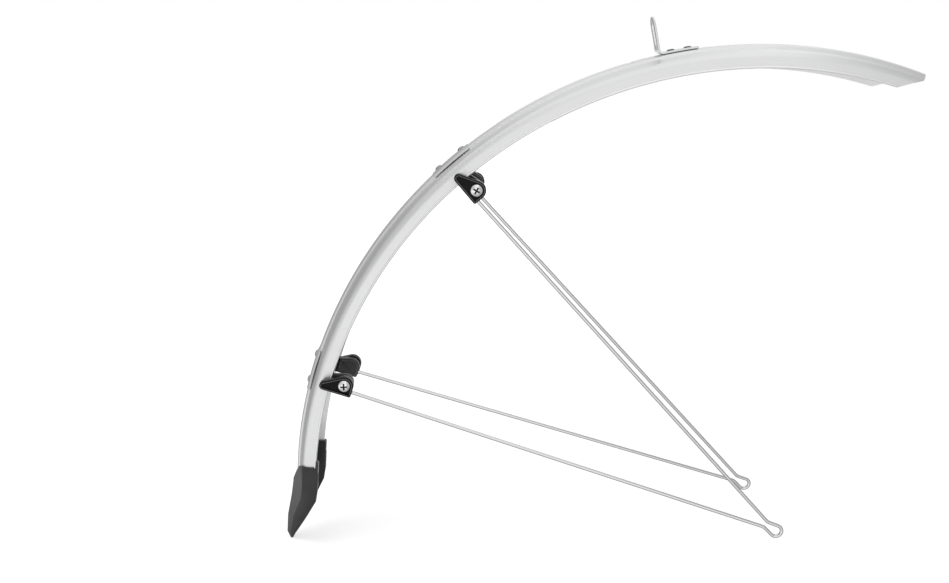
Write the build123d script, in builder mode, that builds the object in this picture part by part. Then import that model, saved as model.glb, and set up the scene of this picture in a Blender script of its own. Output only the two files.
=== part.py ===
"""Front bicycle mudguard with two clamped wire stays, in millimetres.

The origin is the centre of the arc, where the wheel axle sits. X points forward, Y to the left, Z up.
Angles are measured at the origin, from straight ahead upward and over to the back.
"""

import os
from math import acos, atan2, cos, degrees, radians, sin, tan

from build123d import *

# Blade section: raised crown band, crease, shoulder, leaning side wall and beaded edge
crown_radius = 362.0
blade_width = 45.0
blade_depth = 17.6
blade_wall = 1.1
crown_flat = 11.0
crown_width = 18.6
crown_fall = 1.2
crease_drop = 1.8
crease_run = 0.7
shoulder_drop = 6.6
side_lean = 1.2
shoulder_radius = 7.0
bead_radius = 0.9
bead_bite = 0.8
bead_drop = 0.2
bead_end_room = 0.6
bead_flats = 6

# Blade length: angle of the lower end, of the front side corners, slant of the front cut and its round nose
tail_angle = 177.8
front_corner_angle = 73.7
tip_cut_angle = 31.0
nose_angle = 69.85
nose_radius = 36.0

# Clearances
seat_gap = 0.1
rivet_gap = 0.1
thread_gap = 0.05
groove_gap = 0.05
edge_gap = 0.2

# Bridges inside the channel and the metal strips over them
upper_bridge_angle = 130.2
lower_bridge_angle = 162.36
strap_width = 12.0
bridge_wall = 3.0
tongue_length = 35.0
tongue_wall = 2.4
strip_wall = 0.8
strip_corner = 3.0
tongue_edge_room = 0.5
bridge_rivet_pitch = 22.5

# Stay clips: screws sit below the blade's edge and beside the bridge's middle
screw_inset = 11.1
screw_shift = 2.0
clamp_overhang = 2.5
lobe_wall = 7.5
lobe_side_wall = 3.9
clip_side_wall = 1.5
clip_corner_radius = 1.5
cap_wall = 6.5
cap_overlap = 0.6
cap_nose_radius = 3.4
cap_nose_cover = 7.7
cap_rim = 1.3
cap_recess = 1.2
cap_edge_bevel = 0.8
nose_pad_gap = 0.3

# Screws
screw_diameter = 5.0
screw_room = 0.2
screw_length = 11.0
screw_head_diameter = 9.6
screw_head_height = 3.0
screw_head_rim = 1.2
screw_head_top = 5.8
recess_length = 4.6
recess_width = 1.1
recess_depth = 1.6

# Wire stays
wire_diameter = 2.8
wire_side_room = 0.9
wire_end_room = 0.9
eyelet_hole = 6.4
eyelet_forward = 26.0
eyelet_drop = 16.0
eyelet_spread = 87.4
neck_room = 2.3
neck_reach = 10.0
neck_bend = 7.0

# Fork bracket: foot along the crown, slotted tab standing square to it
bracket_angle = 102.2
bracket_width = 14.0
bracket_wall = 1.5
bracket_bend = 2.2
foot_length = 29.0
tab_height = 28.4
slot_width = 5.5
slot_length = 17.4
slot_start = 6.8
fork_rivet_start = 9.5
fork_rivet_pitch = 12.8

# Rivets
rivet_diameter = 3.2
rivet_head_diameter = 6.0
rivet_head_height = 1.4
rivet_head_rim = 0.4
rivet_head_top = 3.4
rivet_tail_diameter = 5.2
rivet_tail_height = 1.2

# Mudflap: ears up the sides, step at the crown, hooks inside the edges, faceted point below
flap_wall = 2.0
ear_height = 17.5
crown_step_height = 2.0
crown_step_lift = 1.0
ear_slope_start = 3.5
ear_round = 4.0
hook_height = 24.5
hook_depth = 6.0
hook_wall = 1.7
flap_crown_cover = 2.6
flap_ridge_cover = 0.2
flap_ridge_inset = 0.5
flap_side_cover = 2.5
flap_edge_cover = 1.8

# Mudflap below the blade: arc length, then crown line, ridge and edge as (share of half width, lift)
flap_corner_arc = 13.0
flap_corner_lines = ((0.34, 4.6), (0.76, -4.2), (1.06, -17.2))
flap_flare_arc = 48.0
flap_flare_lines = ((0.12, 12.4), (0.2, 8.8), (0.3, 4.6))
flap_tip_arc = 54.5
flap_tip_lines = ((0.07, 10.8), (0.1, 9.8), (0.125, 8.6))

half_width = blade_width / 2
edge_radius = crown_radius - blade_depth
bead_half = half_width + bead_radius - bead_bite
bead_height = edge_radius + bead_radius - bead_drop
screw_radius = edge_radius - screw_inset
clamp_half = half_width + clamp_overhang
tongue_width = crown_flat - 2 * tongue_edge_room
screw_hole = screw_diameter + 2 * screw_room
lobe_radius = screw_hole / 2 + lobe_side_wall
cap_radius = lobe_radius + cap_overlap
cap_nose_reach = screw_inset + cap_nose_cover
wire_offset = screw_hole / 2 + wire_diameter / 2 + wire_side_room
wire_hole = wire_diameter / 2 + groove_gap
wire_past_screw = screw_inset - wire_end_room
clip_edge = wire_offset + wire_diameter / 2 + clip_side_wall
flap_edge_half = half_width + flap_side_cover
bridges = {"upper": upper_bridge_angle, "lower": lower_bridge_angle}
sides = {"left": 1, "right": -1}


def radial(angle):
    """Unit vector from the axle outward at an angle."""
    return Vector(cos(radians(angle)), 0, sin(radians(angle)))


def forward(angle):
    """Unit vector along the arc toward the front tip."""
    return Vector(sin(radians(angle)), 0, -cos(radians(angle)))


def arc_angle(length):
    """Angle spanned by a length along the crown."""
    return degrees(length / crown_radius)


def section_plane(angle):
    """Plane of the blade's section: x across to the left, y outward from the axle."""
    return Plane(origin=(0, 0, 0), x_dir=(0, 1, 0), z_dir=forward(angle))


def side_plane(angle, radius):
    """Plane of a side view: x forward along the arc, y outward."""
    return Plane(origin=radial(angle) * radius, x_dir=forward(angle), z_dir=(0, -1, 0))


def crown_plane(angle, radius):
    """Plane square to the radius, for whatever goes through the crown."""
    return Plane(origin=radial(angle) * radius, x_dir=(0, 1, 0), z_dir=radial(angle))


def inset_line(points, distance):
    """Points of an open line moved to its right by a distance, with mitred corners."""
    normals = []
    for start, end in zip(points, points[1:]):
        run = (end - start).normalized()
        normals.append(Vector(run.Y, -run.X))
    moved = [points[0] + normals[0] * distance]
    for point, before, after in zip(points[1:], normals, normals[1:]):
        moved.append(point + (before + after) * (distance / (1 + before.dot(after))))
    moved.append(points[-1] + normals[-1] * distance)
    return moved


def half_profile(inset, low):
    """Flat's edge, crown's edge, crease, shoulder corner and end of the blade's line, moved inward."""
    line = [
        Vector(0, crown_radius),
        Vector(crown_flat / 2, crown_radius),
        Vector(crown_width / 2, crown_radius - crown_fall),
        Vector(crown_width / 2 + crease_run, crown_radius - crown_fall - crease_drop),
        Vector(half_width - side_lean, crown_radius - shoulder_drop),
        Vector(half_width, edge_radius),
    ]
    _, flat_edge, crown_edge, crease, corner, edge = inset_line(line, inset)
    end = corner + (edge - corner) * ((low - corner.Y) / (edge.Y - corner.Y))
    return [(point.X, point.Y) for point in (flat_edge, crown_edge, crease, corner, end)]


def mirrored(side, points):
    """Points of a half section on the left (1) or the right (-1)."""
    return [(side * x, y) for x, y in points]


def draw_profile(inset, low):
    """Draw the blade's line across the section, moved inward and ending at a low radius."""
    half = half_profile(inset, low)
    Line(mirrored(-1, half)[0], half[0])
    for side in (-1, 1):
        Polyline(*mirrored(side, half[:3]))
        FilletPolyline(*mirrored(side, half[2:]), radius=shoulder_radius - inset)


def draw_profile_band(outer_inset, inner_inset, low):
    """Draw a closed band between two insets of the blade's line."""
    draw_profile(outer_inset, low)
    draw_profile(inner_inset, low)
    ends = [half_profile(outer_inset, low)[-1], half_profile(inner_inset, low)[-1]]
    for side in (-1, 1):
        Line(*mirrored(side, ends))


def bridge_rivet_angles(angle):
    """Angles of the two rivets of one bridge."""
    half = arc_angle(bridge_rivet_pitch / 2)
    return [angle - half, angle + half]


def screw_angle(angle):
    """Angle of the screws of the bridge at an angle."""
    return angle - degrees(screw_shift / screw_radius)


def clip_plane(angle, side):
    """Parting plane of a clip: origin on the screw's axis, x outward from the axle, z off the blade."""
    at = radial(screw_angle(angle)) * screw_radius + Vector(0, side * clamp_half, 0)
    return Plane(origin=at, x_dir=radial(screw_angle(angle)), z_dir=(0, side, 0))


def draw_clip_outline(side, lobe, inset):
    """Draw the round lobe and the square lower corner of a clip, drawn in by an inset."""
    corner = clip_corner_radius - min(inset, clip_corner_radius / 2)
    across = clip_edge - inset - corner
    Circle(lobe - inset)
    with Locations((corner + inset - lobe, -side * across)):
        Circle(corner)


def draw_cap_outline(side, inset):
    """Draw the teardrop outline of a cap, drawn in by an inset."""
    draw_clip_outline(side, cap_radius, inset)
    with Locations((cap_nose_reach - cap_nose_radius, -side * (clip_edge - cap_nose_radius))):
        Circle(cap_nose_radius - inset)
    make_hull()


def clamp_point(angle, side):
    """Point of the wire's middle line beside the screw."""
    return clip_plane(angle, side).origin - forward(screw_angle(angle)) * wire_offset


def stay_plane(side):
    """Plane of one stay: origin in the eyelet, x up the middle of the V."""
    eyelet = Vector(eyelet_forward, side * eyelet_spread / 2, -eyelet_drop)
    upper = (clamp_point(upper_bridge_angle, side) - eyelet).normalized()
    lower = (clamp_point(lower_bridge_angle, side) - eyelet).normalized()
    return Plane(origin=eyelet, x_dir=upper + lower, z_dir=upper.cross(lower))


def stay_leg(angle, side):
    """Neck and far end of one leg's middle line, in the plane of its stay."""
    clamp = stay_plane(side).to_local_coords(clamp_point(angle, side))
    neck_half = (wire_diameter + neck_room) / 2
    neck = Vector(neck_reach, neck_half if clamp.Y > 0 else -neck_half)
    return neck, clamp + (clamp - neck).normalized() * wire_past_screw


def cut_wire_groove(angle, side):
    """Cut the wire's groove through the clip that is being built."""
    plane = stay_plane(side)
    neck, end = (plane.from_local_coords(point) for point in stay_leg(angle, side))
    along = (neck - end).normalized()
    with BuildSketch(Plane(origin=end - along * edge_gap, z_dir=along)) as groove:
        Circle(wire_hole)
    extrude(groove.sketch, amount=2 * (wire_past_screw + screw_inset), mode=Mode.SUBTRACT)


def add_rivet(angle, seat, grip):
    """Add a rivet with its head on a seat radius and its tail below the grip."""
    with BuildSketch(section_plane(angle)) as half_rivet:
        with BuildLine():
            top = seat + rivet_head_height
            tail = seat - grip
            Line((0, tail - rivet_tail_height), (0, top))
            Polyline(
                (0, top),
                (rivet_head_top / 2, top),
                (rivet_head_diameter / 2, seat + rivet_head_rim),
                (rivet_head_diameter / 2, seat),
                (rivet_diameter / 2, seat),
                (rivet_diameter / 2, tail),
                (rivet_tail_diameter / 2, tail),
                (rivet_diameter / 2, tail - rivet_tail_height),
                (0, tail - rivet_tail_height),
            )
        make_face()
    revolve(half_rivet.sketch, axis=Axis((0, 0, 0), radial(angle)))


def cut_rivet_holes(angles):
    """Cut rivet holes right through the crown of the piece that is being built."""
    for angle in angles:
        with BuildSketch(crown_plane(angle, crown_radius)) as hole:
            Circle(rivet_diameter / 2 + rivet_gap)
        extrude(hole.sketch, amount=blade_depth / 2, both=True, mode=Mode.SUBTRACT)


os.makedirs("parts", exist_ok=True)

bracket_rivet_angles = [
    bracket_angle - arc_angle(fork_rivet_start),
    bracket_angle - arc_angle(fork_rivet_start + fork_rivet_pitch),
]

# Blade: the section turned about the axle, cut on a slant at the front tip, with a round nose
tip_reach = blade_depth / tan(radians(tip_cut_angle))
tip_corner = radial(front_corner_angle) * edge_radius
tip_slope = forward(front_corner_angle) * cos(radians(tip_cut_angle))
tip_slope += radial(front_corner_angle) * sin(radians(tip_cut_angle))

with BuildPart() as blade:
    with BuildSketch(section_plane(tail_angle)):
        with BuildLine():
            draw_profile_band(0, blade_wall, edge_radius)
        make_face()
    edge_span = tail_angle - front_corner_angle
    revolve(axis=Axis.Y, revolution_arc=edge_span + 2 * arc_angle(tip_reach))
    with BuildSketch(Plane(origin=tip_corner, x_dir=tip_slope, z_dir=(0, -1, 0))):
        Rectangle(4 * tip_reach, 4 * blade_depth, align=(Align.CENTER, Align.MAX))
    extrude(amount=blade_width, both=True, mode=Mode.SUBTRACT)
    with BuildSketch(crown_plane(nose_angle, crown_radius)):
        Rectangle(2 * blade_width, nose_radius)
        with Locations((0, nose_radius)):
            Circle(nose_radius, mode=Mode.SUBTRACT)
    extrude(amount=blade_depth, both=True, mode=Mode.SUBTRACT)
    with BuildSketch(section_plane(tail_angle)):
        with Locations((-bead_half, bead_height), (bead_half, bead_height)):
            RegularPolygon(bead_radius, bead_flats)
    revolve(axis=Axis.Y, revolution_arc=edge_span - arc_angle(bead_end_room))
    for bridge_angle in bridges.values():
        cut_rivet_holes(bridge_rivet_angles(bridge_angle))
    cut_rivet_holes(bracket_rivet_angles)
blade.part.label = "blade"
export_step(blade.part, "parts/blade.step")

# Bridges: a strap round the inside of the channel, a tongue under the crown, a lobe below each edge
strap_span = degrees(strap_width / edge_radius)
tongue_span = arc_angle(tongue_length)
lobe_top = screw_inset - bead_drop - edge_gap

for level, bridge_angle in bridges.items():
    with BuildPart() as bridge:
        with BuildSketch(section_plane(bridge_angle + strap_span / 2)):
            with BuildLine():
                top_inset = blade_wall + seat_gap
                draw_profile_band(top_inset, top_inset + bridge_wall, screw_radius + lobe_radius / 2)
            make_face()
        revolve(axis=Axis.Y, revolution_arc=strap_span)
        with BuildSketch(section_plane(bridge_angle + tongue_span / 2)):
            with Locations((0, crown_radius - top_inset)):
                Rectangle(tongue_width, tongue_wall, align=(Align.CENTER, Align.MAX))
        revolve(axis=Axis.Y, revolution_arc=tongue_span)
        for side in sides.values():
            with BuildSketch(clip_plane(bridge_angle, side)):
                draw_clip_outline(side, lobe_radius, 0)
                with Locations((lobe_top, -side * screw_shift)):
                    Rectangle(lobe_top, strap_width, align=(Align.MAX, Align.CENTER))
                make_hull()
            extrude(amount=-lobe_wall)
            with BuildSketch(clip_plane(bridge_angle, side)):
                Circle(screw_diameter / 2)
            extrude(amount=cap_wall - cap_recess - screw_length - edge_gap, mode=Mode.SUBTRACT)
            cut_wire_groove(bridge_angle, side)
        cut_rivet_holes(bridge_rivet_angles(bridge_angle))
    bridge.part.label = f"{level}_bridge"
    export_step(bridge.part, f"parts/{level}_bridge.step")

# Metal strips bent to the outside of the crown, one over each bridge and as long as its tongue
for level, bridge_angle in bridges.items():
    with BuildPart() as strip:
        with BuildSketch(section_plane(bridge_angle + tongue_span / 2)):
            with BuildLine():
                under = half_profile(-seat_gap, edge_radius)[:2]
                over = half_profile(-seat_gap - strip_wall, edge_radius)[:2]
                right = [*under, *reversed(over)]
                Polyline(*right, *reversed(mirrored(-1, right)), close=True)
            make_face()
        revolve(axis=Axis.Y, revolution_arc=tongue_span)
        with BuildSketch(crown_plane(bridge_angle, crown_radius)) as strip_outline:
            RectangleRounded(crown_width, tongue_length, strip_corner)
        extrude(strip_outline.sketch, amount=blade_depth / 2, both=True, mode=Mode.INTERSECT)
        cut_rivet_holes(bridge_rivet_angles(bridge_angle))
    strip.part.label = f"{level}_strip"
    export_step(strip.part, f"parts/{level}_strip.step")

# Bridge rivets: heads on the strips, tails under the tongues
with BuildPart() as bridge_rivets:
    stack = seat_gap + strip_wall + blade_wall + seat_gap + tongue_wall
    for bridge_angle in bridges.values():
        for rivet_angle in bridge_rivet_angles(bridge_angle):
            add_rivet(rivet_angle, crown_radius + seat_gap + strip_wall, stack + rivet_gap)
bridge_rivets.part.label = "bridge_rivets"
export_step(bridge_rivets.part, "parts/bridge_rivets.step")

# Caps: a teardrop with a raised rim, a pad against the blade and half of the wire's groove
for level, bridge_angle in bridges.items():
    for hand, side in sides.items():
        parting = clip_plane(bridge_angle, side)
        with BuildPart() as cap:
            with BuildSketch(parting):
                draw_cap_outline(side, 0)
            extrude(amount=cap_wall)
            outer_face = cap.faces().sort_by(Axis((0, 0, 0), (0, side, 0)))[-1]
            chamfer(outer_face.edges(), length=cap_edge_bevel)
            with BuildSketch(parting.offset(cap_wall)):
                draw_cap_outline(side, cap_rim)
            extrude(amount=-cap_recess, mode=Mode.SUBTRACT)
            with BuildSketch(parting):
                with Locations((cap_nose_reach - cap_nose_radius, -side * (clip_edge - cap_nose_radius))):
                    Circle(cap_nose_radius - bead_radius)
            extrude(amount=nose_pad_gap - clamp_overhang)
            with BuildSketch(parting):
                Circle(screw_hole / 2)
            extrude(amount=cap_wall, mode=Mode.SUBTRACT)
            cut_wire_groove(bridge_angle, side)
        cap.part.label = f"{level}_{hand}_cap"
        export_step(cap.part, f"parts/{level}_{hand}_cap.step")

# Screws: pan heads in the caps' recesses, shanks into the bridge lobes
with BuildPart() as stay_screws:
    for bridge_angle in bridges.values():
        for side in sides.values():
            head_plane = clip_plane(bridge_angle, side).offset(cap_wall - cap_recess)
            head_side = -head_plane.y_dir
            with BuildSketch(Plane(origin=head_plane.origin, x_dir=head_plane.x_dir, z_dir=head_side)):
                with BuildLine():
                    head_half = screw_head_diameter / 2
                    shank_half = screw_diameter / 2 - thread_gap
                    Line((0, -screw_length), (0, screw_head_height))
                    Polyline(
                        (0, screw_head_height),
                        (screw_head_top / 2, screw_head_height),
                        (head_half, screw_head_rim),
                        (head_half, 0),
                        (shank_half, 0),
                        (shank_half, -screw_length),
                        (0, -screw_length),
                    )
                make_face()
            revolve(axis=Axis(head_plane.origin, head_plane.z_dir))
            with BuildSketch(head_plane.offset(screw_head_height)):
                Rectangle(recess_length, recess_width)
                Rectangle(recess_width, recess_length)
            extrude(amount=-recess_depth, mode=Mode.SUBTRACT)
stay_screws.part.label = "stay_screws"
export_step(stay_screws.part, "parts/stay_screws.step")

# Stays: one wire each, from the upper clip round the eyelet and back to the lower clip
eyelet_bend = (eyelet_hole + wire_diameter) / 2

for hand, side in sides.items():
    with BuildPart() as stay:
        with BuildLine(stay_plane(side)) as wire_path:
            touch = []
            for bridge_angle in bridges.values():
                neck, end = stay_leg(bridge_angle, side)
                turn = atan2(abs(neck.Y), neck.X) + acos(eyelet_bend / neck.length)
                hook_half = eyelet_bend * sin(turn) * (1 if neck.Y > 0 else -1)
                touch.append((eyelet_bend * cos(turn), hook_half))
                FilletPolyline((end.X, end.Y), (neck.X, neck.Y), touch[-1], radius=neck_bend)
            ThreePointArc(touch[0], (-eyelet_bend, 0), touch[1])
        wire_start = wire_path.wires()[0]
        with BuildSketch(Plane(origin=wire_start @ 0, z_dir=wire_start % 0)):
            Circle(wire_diameter / 2)
        sweep(path=wire_start)
    stay.part.label = f"stay_{hand}"
    export_step(stay.part, f"parts/stay_{hand}.step")

# Fork bracket: one bent strap, its foot curved to the crown and its tab slotted for the fork bolt
with BuildPart() as fork_bracket:
    strap_middle = bracket_wall / 2
    foot_radius = crown_radius + seat_gap + strap_middle
    foot_span = arc_angle(foot_length)
    bend_radius = bracket_bend + strap_middle
    with BuildSketch(Plane.XZ):
        with BuildLine():
            tab_foot = radial(bracket_angle) * (foot_radius + bend_radius)
            tab_top = radial(bracket_angle) * (crown_radius + tab_height)
            bend_angle = bracket_angle - degrees(bend_radius / (foot_radius + bend_radius))
            foot_start = radial(bend_angle) * foot_radius
            foot_middle = radial(bend_angle - foot_span / 2) * foot_radius
            foot_end = radial(bracket_angle - foot_span) * foot_radius
            Line((tab_top.X, tab_top.Z), (tab_foot.X, tab_foot.Z))
            TangentArc(
                (tab_foot.X, tab_foot.Z),
                (foot_start.X, foot_start.Z),
                tangent=(-radial(bracket_angle).X, -radial(bracket_angle).Z),
            )
            ThreePointArc(
                (foot_start.X, foot_start.Z),
                (foot_middle.X, foot_middle.Z),
                (foot_end.X, foot_end.Z),
            )
        trace(line_width=bracket_wall)
    extrude(amount=bracket_width / 2, both=True)
    thin_edges = fork_bracket.edges().filter_by(Axis((0, 0, 0), forward(bracket_angle)))
    top_edges = thin_edges.group_by(Axis((0, 0, 0), radial(bracket_angle)))[-1]
    fillet(top_edges, radius=bracket_width / 2 - edge_gap)
    slot_middle = crown_radius + slot_start + slot_length / 2
    slot_at = radial(bracket_angle) * slot_middle
    with BuildSketch(Plane(origin=slot_at, x_dir=radial(bracket_angle), z_dir=forward(bracket_angle))):
        SlotOverall(slot_length, slot_width)
    extrude(amount=bracket_wall, both=True, mode=Mode.SUBTRACT)
    cut_rivet_holes(bracket_rivet_angles)
fork_bracket.part.label = "fork_bracket"
export_step(fork_bracket.part, "parts/fork_bracket.step")

# Fork rivets: heads on the bracket's foot, tails inside the blade
with BuildPart() as fork_rivets:
    for rivet_angle in bracket_rivet_angles:
        stack = seat_gap + bracket_wall + blade_wall
        add_rivet(rivet_angle, crown_radius + seat_gap + bracket_wall, stack + rivet_gap)
fork_rivets.part.label = "fork_rivets"
export_step(fork_rivets.part, "parts/fork_rivets.step")

# Mudflap stations down from the blade's lower end
flap_seat_lines = (
    (crown_width / blade_width, flap_crown_cover),
    (1 - flap_ridge_inset / half_width, flap_ridge_cover - shoulder_drop),
    (1 + flap_side_cover / half_width, -blade_depth - flap_edge_cover),
)
flap_stations = [
    (-hook_height, flap_seat_lines),
    (0, flap_seat_lines),
    (flap_corner_arc, flap_corner_lines),
    (flap_flare_arc, flap_flare_lines),
    (flap_tip_arc, flap_tip_lines),
]


def draw_flap_section(lines, inset, reach):
    """Draw the flap's filled section through its lines, drawn in by an inset and longer by a reach."""
    line = [Vector(0, crown_radius + lines[0][1])]
    for share, lift in lines:
        line.append(Vector(share * half_width, crown_radius + lift))
    line = inset_line(line, inset)
    line[-1] += (line[-1] - line[-2]).normalized() * reach
    right = [(point.X, point.Y) for point in line[1:]]
    left = [(-x, y) for x, y in reversed(right)]
    Polyline(*right, *left, close=True)


with BuildPart() as mudflap:
    for arc, lines in flap_stations:
        with BuildSketch(section_plane(tail_angle + arc_angle(arc))):
            with BuildLine():
                draw_flap_section(lines, 0, 0)
            make_face()
    loft(ruled=True)
    # Hollow below the blade's end
    for arc, lines in flap_stations[1:4]:
        with BuildSketch(section_plane(tail_angle + arc_angle(arc))):
            with BuildLine():
                draw_flap_section(lines, flap_wall, blade_depth)
            make_face()
    loft(ruled=True, mode=Mode.SUBTRACT)
    # Room for the blade itself
    with BuildSketch(section_plane(tail_angle + arc_angle(edge_gap))):
        with BuildLine():
            draw_profile(-seat_gap, edge_radius - blade_depth)
            end = half_profile(-seat_gap, edge_radius - blade_depth)[-1]
            Line(*mirrored(-1, [end]), end)
        make_face()
        with Locations((-bead_half, bead_height), (bead_half, bead_height)):
            RegularPolygon(bead_radius + seat_gap, bead_flats)
    revolve(axis=Axis.Y, revolution_arc=arc_angle(2 * hook_height), mode=Mode.SUBTRACT)
    # Top edge: level ears at the sides that slope down to a step at the crown
    with BuildSketch(side_plane(tail_angle, crown_radius)):
        with BuildLine():
            FilletPolyline(
                (ear_height, -2 * blade_depth),
                (ear_height, -ear_slope_start),
                (crown_step_height, crown_step_lift),
                (crown_step_height, 3 * flap_crown_cover),
                radius=ear_round,
            )
            Polyline(
                (crown_step_height, 3 * flap_crown_cover),
                (3 * hook_height, 3 * flap_crown_cover),
                (3 * hook_height, -2 * blade_depth),
                (ear_height, -2 * blade_depth),
            )
        make_face()
    extrude(amount=2 * blade_width, both=True, mode=Mode.SUBTRACT)
    # Hooks round the blade's edges to the inside
    for side in sides.values():
        with BuildSketch(section_plane(tail_angle)):
            with BuildLine():
                low = edge_radius - bead_drop - seat_gap
                root = half_profile(blade_wall + seat_gap, low)[-1][0]
                tip = half_profile(blade_wall + seat_gap, low + hook_depth)[-1][0]
                Polyline(
                    (side * flap_edge_half, low),
                    (side * root, low),
                    (side * tip, low + hook_depth),
                    (side * (tip - hook_wall), low + hook_depth),
                    (side * (root - hook_wall), low - hook_wall),
                    (side * flap_edge_half, low - hook_wall),
                    close=True,
                )
            make_face()
        revolve(axis=Axis.Y, revolution_arc=arc_angle(hook_height))
mudflap.part.label = "mudflap"
export_step(mudflap.part, "parts/mudflap.step")
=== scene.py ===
# %% [markdown]
# A front bicycle mudguard: a long silver blade, two black bridges with clips, two wire stays,
# a steel bracket for the fork and a soft flap. The solids come from the CAD model and are never moved.
# Each of them is modelled again here, in the same place, with the rounder edges and finer shapes
# of the real thing, and the new piece is shown in place of the solid.

# %% Load the solids
from math import acos, atan2, cos, hypot, pi, radians, sin, tan

import bmesh
import bpy
from mathutils import Matrix, Vector


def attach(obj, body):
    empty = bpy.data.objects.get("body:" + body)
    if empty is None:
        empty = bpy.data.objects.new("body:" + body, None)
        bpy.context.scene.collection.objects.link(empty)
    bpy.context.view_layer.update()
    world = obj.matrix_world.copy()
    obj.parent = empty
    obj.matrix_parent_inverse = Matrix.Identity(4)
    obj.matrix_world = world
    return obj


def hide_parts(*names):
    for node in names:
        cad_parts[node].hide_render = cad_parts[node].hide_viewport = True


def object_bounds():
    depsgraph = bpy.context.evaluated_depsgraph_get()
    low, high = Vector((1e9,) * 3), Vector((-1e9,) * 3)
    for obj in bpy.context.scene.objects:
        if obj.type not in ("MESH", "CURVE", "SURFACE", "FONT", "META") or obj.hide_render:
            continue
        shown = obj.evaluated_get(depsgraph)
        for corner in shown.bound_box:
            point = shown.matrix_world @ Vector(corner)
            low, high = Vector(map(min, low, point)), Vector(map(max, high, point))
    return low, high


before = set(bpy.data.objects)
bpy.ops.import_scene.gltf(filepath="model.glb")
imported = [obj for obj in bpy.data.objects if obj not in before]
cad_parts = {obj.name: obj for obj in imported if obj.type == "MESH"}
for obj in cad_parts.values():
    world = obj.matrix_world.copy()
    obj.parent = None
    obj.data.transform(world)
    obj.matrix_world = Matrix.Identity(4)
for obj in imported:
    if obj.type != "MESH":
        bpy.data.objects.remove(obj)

cad_box = [list(corner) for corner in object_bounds()]
print("solids:", sorted(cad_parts))
print("box in metres:", cad_box)

# %% [markdown]
# The camera stands where the photographer stood: in front of the right side and a little above it.
# Its place was found by laying known points of the blade over the picture.
# A lens is set from the focal length in pixels, so the picture's width is all that it needs.

# %% Camera
scene = bpy.context.scene
picture_wide = 949
focal_pixels = 934.5
camera_data = bpy.data.cameras.new("studio_camera")
camera_data.sensor_width = 36
camera_data.lens = camera_data.sensor_width * focal_pixels / picture_wide
camera_data.clip_start = 0.01
camera = bpy.data.objects.new("studio_camera", camera_data)
camera.location = (-0.22286, -0.72365, 0.34566)
look = Vector((0.01084, 0.97212, -0.23422))
camera.rotation_mode = "QUATERNION"
camera.rotation_quaternion = look.to_track_quat("-Z", "Y")
scene.collection.objects.link(camera)
scene.camera = camera
scene.view_settings.view_transform = "Standard"
print("lens:", round(camera_data.lens, 2), "mm")

# %% [markdown]
# Helpers for node materials. Nodes could be placed by hand in the editor, but a script can repeat them,
# so each finish is a Principled shader whose nodes are made and linked by name.
# Patterns read Object coordinates, which are metres here: a noise scale of 1000 gives millimetre grain.

# %% Node helpers
def new_finish(name, **sockets):
    """A material with its Principled shader's sockets set by name."""
    material = bpy.data.materials.new(name)
    material.use_nodes = True
    shader = material.node_tree.nodes["Principled BSDF"]
    for socket, value in sockets.items():
        shader.inputs[socket.replace("_", " ")].default_value = value
    return material, shader


def add_node(material, kind, **settings):
    """A node of a kind with its properties and sockets set by name."""
    node = material.node_tree.nodes.new(kind)
    for name, value in settings.items():
        if hasattr(node, name):
            setattr(node, name, value)
        else:
            node.inputs[name.replace("_", " ")].default_value = value
    return node


def wire_up(source, target):
    """A link between two sockets of one node tree."""
    target.id_data.links.new(source, target)


def place(material):
    """Object coordinates, in metres."""
    return add_node(material, "ShaderNodeTexCoord").outputs["Object"]


def spread(material, value, low, high, to_low, to_high):
    """A value mapped from one range to another and kept inside it."""
    node = add_node(material, "ShaderNodeMapRange")
    for slot, number in zip(("From Min", "From Max", "To Min", "To Max"), (low, high, to_low, to_high)):
        node.inputs[slot].default_value = number
    wire_up(value, node.inputs["Value"])
    return node.outputs["Result"]


# %% [markdown]
# The floor is plain pale paper. The camera should see it almost white and still see the flap's soft shadow.
# More light would bleach the object too, so the floor glows a little to the camera and adds its own shading
# to that glow: the shading is the part that a shadow darkens. The glow grows to full white far off.
# Rays that only carry light meet an ordinary pale floor, and reflections look past it into the world.

# %% Floor
def seen_directly(material_or_world):
    """One where a ray is seen directly, in a gloss or through glass, and zero where it only lights."""
    path = add_node(material_or_world, "ShaderNodeLightPath")
    total = path.outputs["Is Camera Ray"]
    for ray in ("Is Glossy Ray", "Is Transmission Ray"):
        either = add_node(material_or_world, "ShaderNodeMath", operation="MAXIMUM")
        wire_up(total, either.inputs[0])
        wire_up(path.outputs[ray], either.inputs[1])
        total = either.outputs[0]
    return total


floor_level = cad_box[0][2]
floor_mesh = bpy.data.meshes.new("floor")
floor_bm = bmesh.new()
bmesh.ops.create_grid(floor_bm, x_segments=1, y_segments=1, size=6.0)
bmesh.ops.translate(floor_bm, verts=floor_bm.verts, vec=(0, 0, floor_level))
floor_bm.to_mesh(floor_mesh)
floor_bm.free()
floor = bpy.data.objects.new("floor", floor_mesh)
floor.visible_glossy = False
scene.collection.objects.link(floor)
print("floor at", round(floor_level, 4))

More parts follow.
